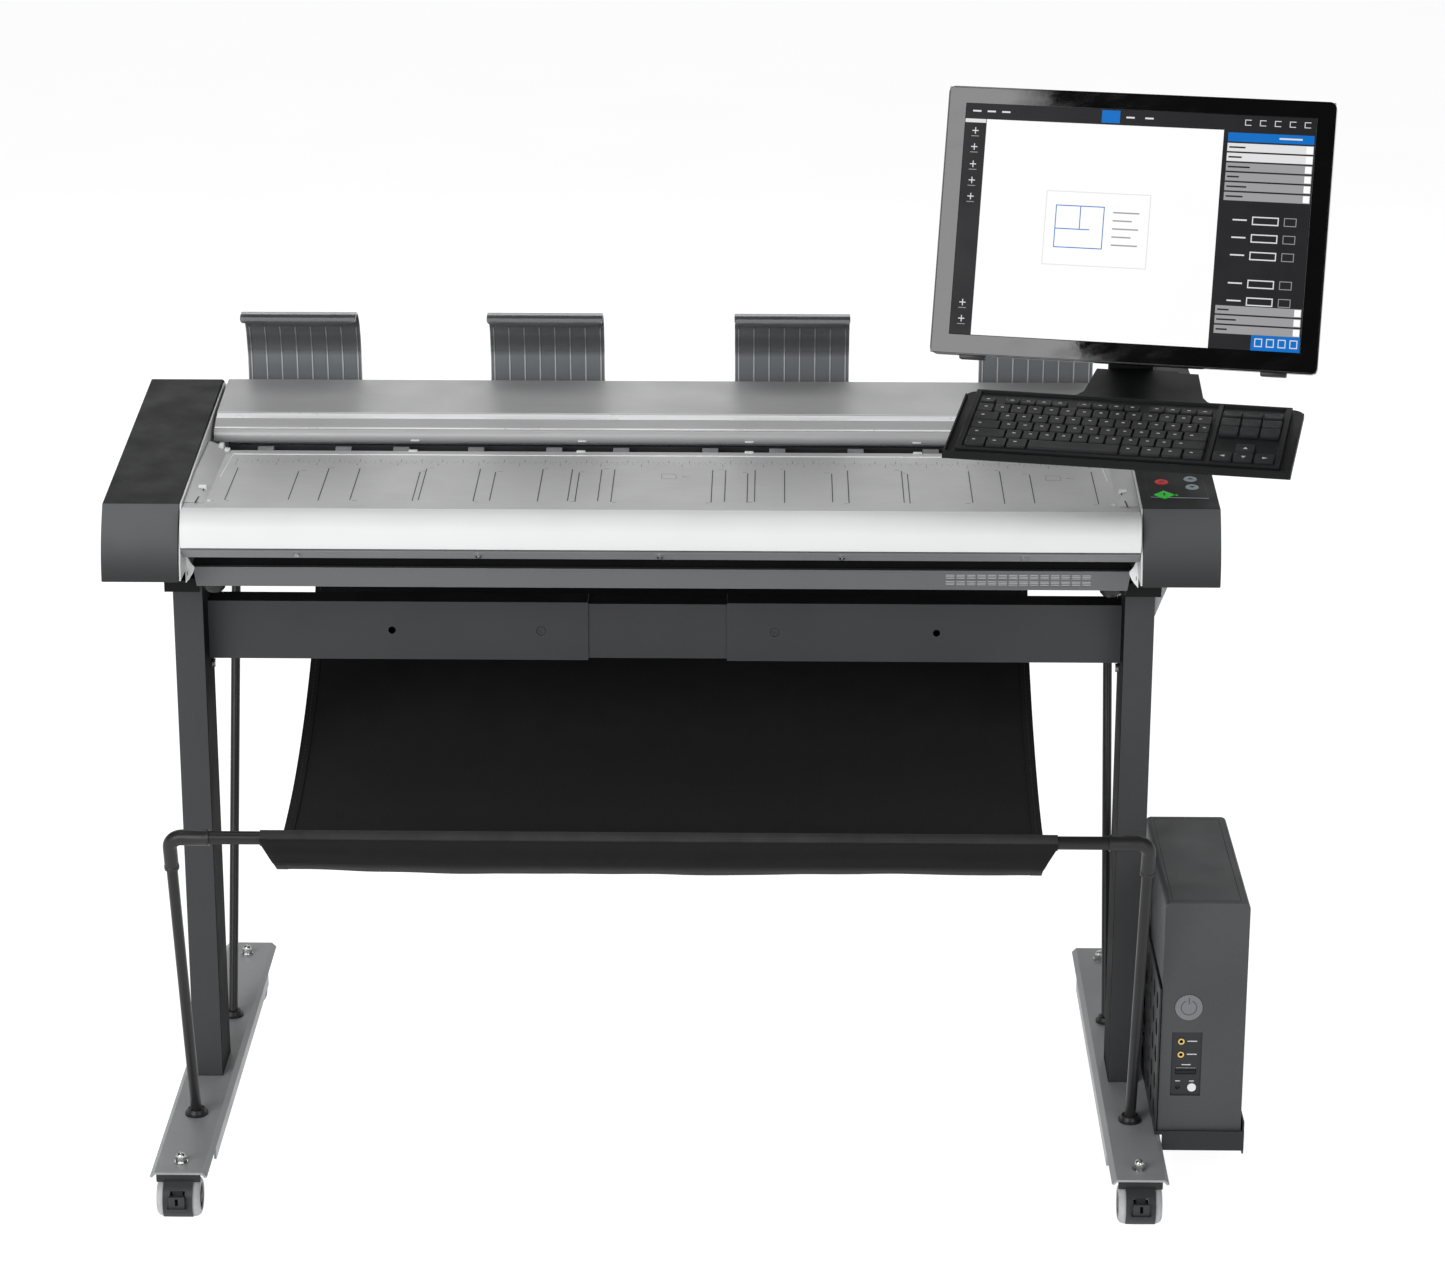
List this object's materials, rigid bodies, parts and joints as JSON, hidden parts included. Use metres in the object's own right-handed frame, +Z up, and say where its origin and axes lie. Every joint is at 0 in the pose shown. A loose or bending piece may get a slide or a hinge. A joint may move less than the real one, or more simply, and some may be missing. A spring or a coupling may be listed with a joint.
{
  "type": "large-format sheet-feed scanner on a stand",
  "caption": "Wide sheet-feed scanner on a wheeled stand with paper guides, a fabric catch basket, a swivelling monitor and keyboard arm, and a computer holder.",
  "frame": {"origin": "on the floor, midway between the centres of the two columns", "axes": "+X to the right as seen by the user, +Y to the rear, +Z up"},
  "size_m": [1.4459, 0.8236, 1.3435],
  "materials": {
    "stand_paint": "fine satin powder coat",
    "foot_paint": "satin grey paint",
    "zinc": "bright zinc plate",
    "rod_black": "satin black",
    "fitting": "moulded black",
    "cloth": "matt woven polyester",
    "caster_hood": "moulded",
    "caster_tyre": "light grey tread",
    "panel_grey": "satin",
    "table_silver": "satin silver",
    "nose_white": "satin white",
    "cap_charcoal": "fine moulded texture",
    "white_plastic": "satin",
    "lid_silver": "satin anodised",
    "roller_rubber": "matt",
    "glass": "clear",
    "inner_black": "matt",
    "camera_alu": "black anodised",
    "motor_steel": "brushed",
    "board_green": "solder mask",
    "red": "gloss",
    "green": "gloss",
    "button_grey": "satin",
    "smoke": "smoke tint",
    "arm_dark": "satin powder coat",
    "monitor_black": "piano gloss",
    "screen": "lit panel",
    "key_black": "fine texture",
    "pc_metal": "fine powder coat",
    "pc_button": "satin"
  },
  "bodies": {
    "root": {"foot_left": "foot_paint", "foot_right": "foot_paint", "column_left": "stand_paint", "column_right": "stand_paint", "saddle_plates": "stand_paint", "crossbeam_center": "stand_paint", "crossbeam_sleeve_left": "stand_paint", "crossbeam_sleeve_right": "stand_paint", "screws_and_nuts": "zinc", "rod_grommets": "fitting", "basket_rods_front": "rod_black", "basket_elbows": "fitting", "basket_rod_cross": "rod_black", "basket_rod_rear": "rod_black", "basket_fabric": "cloth", "base_pan": "panel_grey", "recess_panel": "inner_black", "rear_cover": "panel_grey", "loading_table": "table_silver", "table_nose": "nose_white", "side_ramps": "table_silver", "end_cap_left": "cap_charcoal", "end_cap_right": "cap_charcoal", "inner_side_walls": "white_plastic", "scan_glass": "glass", "camera_box": "camera_alu", "drive_motor": "motor_steel", "drive_belt": "roller_rubber", "control_board": "board_green", "paper_guides": "smoke", "arm_pole": "arm_dark", "pc_holder": "arm_dark", "pc_case": "pc_metal"},
    "lid": {"lid": "lid_silver", "pressure_plate": "white_plastic"},
    "infeed": {"infeed_roller": "roller_rubber"},
    "outfeed": {"outfeed_roller": "roller_rubber"},
    "motor": {"motor_pulley": "motor_steel"},
    "arm": {"swivel_arm": "arm_dark", "keyboard_tray": "arm_dark", "keyboard_body": "key_black", "keyboard_keys": "key_black"},
    "monitor": {"monitor_shell": "monitor_black", "monitor_screen": "screen"},
    "stop_button": {"button_stop": "red"},
    "start_button": {"button_start": "green"},
    "up_button": {"button_up": "button_grey"},
    "down_button": {"button_down": "button_grey"},
    "pc_power": {"pc_power_button": "pc_button"},
    "pc_reset": {"pc_reset_button": "white_plastic"},
    "brake_left": {"brake_pedal_left": "caster_hood"},
    "brake_right": {"brake_pedal_right": "caster_hood"},
    "caster_fl": {"caster_hood_fl": "caster_hood"},
    "wheels_fl": {"caster_wheels_fl": "caster_tyre"},
    "caster_fr": {"caster_hood_fr": "caster_hood"},
    "wheels_fr": {"caster_wheels_fr": "caster_tyre"},
    "caster_rl": {"caster_hood_rl": "caster_hood"},
    "wheels_rl": {"caster_wheels_rl": "caster_tyre"},
    "caster_rr": {"caster_hood_rr": "caster_hood"},
    "wheels_rr": {"caster_wheels_rr": "caster_tyre"}
  },
  "joints": [
    {"name": "lid_hinge", "type": "hinge", "parent": "root", "child": "lid", "pos_m": [0, 0.274, 0.88496], "axis": [-1, 0, 0], "range_deg": [0, 50]},
    {"name": "swivel_fl", "type": "hinge", "parent": "root", "child": "caster_fl", "pos_m": [-0.583, -0.286, 0.045], "axis": [0, 0, 1], "continuous": true},
    {"name": "wheel_spin_fl", "type": "hinge", "parent": "caster_fl", "child": "wheels_fl", "pos_m": [-0.583, -0.304, 0.025], "axis": [1, 0, 0], "continuous": true},
    {"name": "swivel_fr", "type": "hinge", "parent": "root", "child": "caster_fr", "pos_m": [0.583, -0.286, 0.045], "axis": [0, 0, 1], "continuous": true},
    {"name": "wheel_spin_fr", "type": "hinge", "parent": "caster_fr", "child": "wheels_fr", "pos_m": [0.583, -0.304, 0.025], "axis": [1, 0, 0], "continuous": true},
    {"name": "swivel_rl", "type": "hinge", "parent": "root", "child": "caster_rl", "pos_m": [-0.583, 0.357, 0.045], "axis": [0, 0, 1], "continuous": true},
    {"name": "wheel_spin_rl", "type": "hinge", "parent": "caster_rl", "child": "wheels_rl", "pos_m": [-0.583, 0.339, 0.025], "axis": [1, 0, 0], "continuous": true},
    {"name": "swivel_rr", "type": "hinge", "parent": "root", "child": "caster_rr", "pos_m": [0.583, 0.357, 0.045], "axis": [0, 0, 1], "continuous": true},
    {"name": "wheel_spin_rr", "type": "hinge", "parent": "caster_rr", "child": "wheels_rr", "pos_m": [0.583, 0.339, 0.025], "axis": [1, 0, 0], "continuous": true},
    {"name": "brake_left_press", "type": "hinge", "parent": "caster_fl", "child": "brake_left", "pos_m": [-0.583, -0.319, 0.031], "axis": [1, 0, 0], "range_deg": [0, 12]},
    {"name": "brake_right_press", "type": "hinge", "parent": "caster_fr", "child": "brake_right", "pos_m": [0.583, -0.319, 0.031], "axis": [1, 0, 0], "range_deg": [0, 12]},
    {"name": "infeed_spin", "type": "hinge", "parent": "root", "child": "infeed", "pos_m": [0, 0.108, 0.8445], "axis": [1, 0, 0], "continuous": true},
    {"name": "outfeed_spin", "type": "hinge", "parent": "root", "child": "outfeed", "pos_m": [0, 0.23, 0.8445], "axis": [1, 0, 0], "continuous": true},
    {"name": "motor_spin", "type": "hinge", "parent": "root", "child": "motor", "pos_m": [-0.601, 0.167, 0.795], "axis": [1, 0, 0], "continuous": true},
    {"name": "stop_button_press", "type": "slide", "parent": "root", "child": "stop_button", "axis": [0, 0.103, -0.9947], "range_m": [0, 0.0015], "stiffness_N_per_m": 300},
    {"name": "up_button_press", "type": "slide", "parent": "root", "child": "up_button", "axis": [0, 0.103, -0.9947], "range_m": [0, 0.0015], "stiffness_N_per_m": 300},
    {"name": "down_button_press", "type": "slide", "parent": "root", "child": "down_button", "axis": [0, 0.103, -0.9947], "range_m": [0, 0.0015], "stiffness_N_per_m": 300},
    {"name": "start_button_press", "type": "slide", "parent": "root", "child": "start_button", "axis": [0, 0.103, -0.9947], "range_m": [0, 0.0015], "stiffness_N_per_m": 300},
    {"name": "pc_power_press", "type": "slide", "parent": "root", "child": "pc_power", "axis": [0, 1, 0], "range_m": [0, 0.0015], "stiffness_N_per_m": 300},
    {"name": "pc_reset_press", "type": "slide", "parent": "root", "child": "pc_reset", "axis": [0, 1, 0], "range_m": [0, 0.0015], "stiffness_N_per_m": 300},
    {"name": "arm_swivel", "type": "hinge", "parent": "root", "child": "arm", "pos_m": [0.612, 0.387, 0.975], "axis": [0, 0, 1], "range_deg": [-15, 90]},
    {"name": "monitor_tilt", "type": "hinge", "parent": "arm", "child": "monitor", "pos_m": [0.55417, -0.11425, 1.16216], "axis": [-0.9781, 0.2079, 0], "range_deg": [-18, 8]}
  ],
  "couplings": [
    {"joint": "outfeed_spin", "follows": "infeed_spin", "ratio": 1},
    {"joint": "motor_spin", "follows": "infeed_spin", "ratio": 1.75}
  ]
}
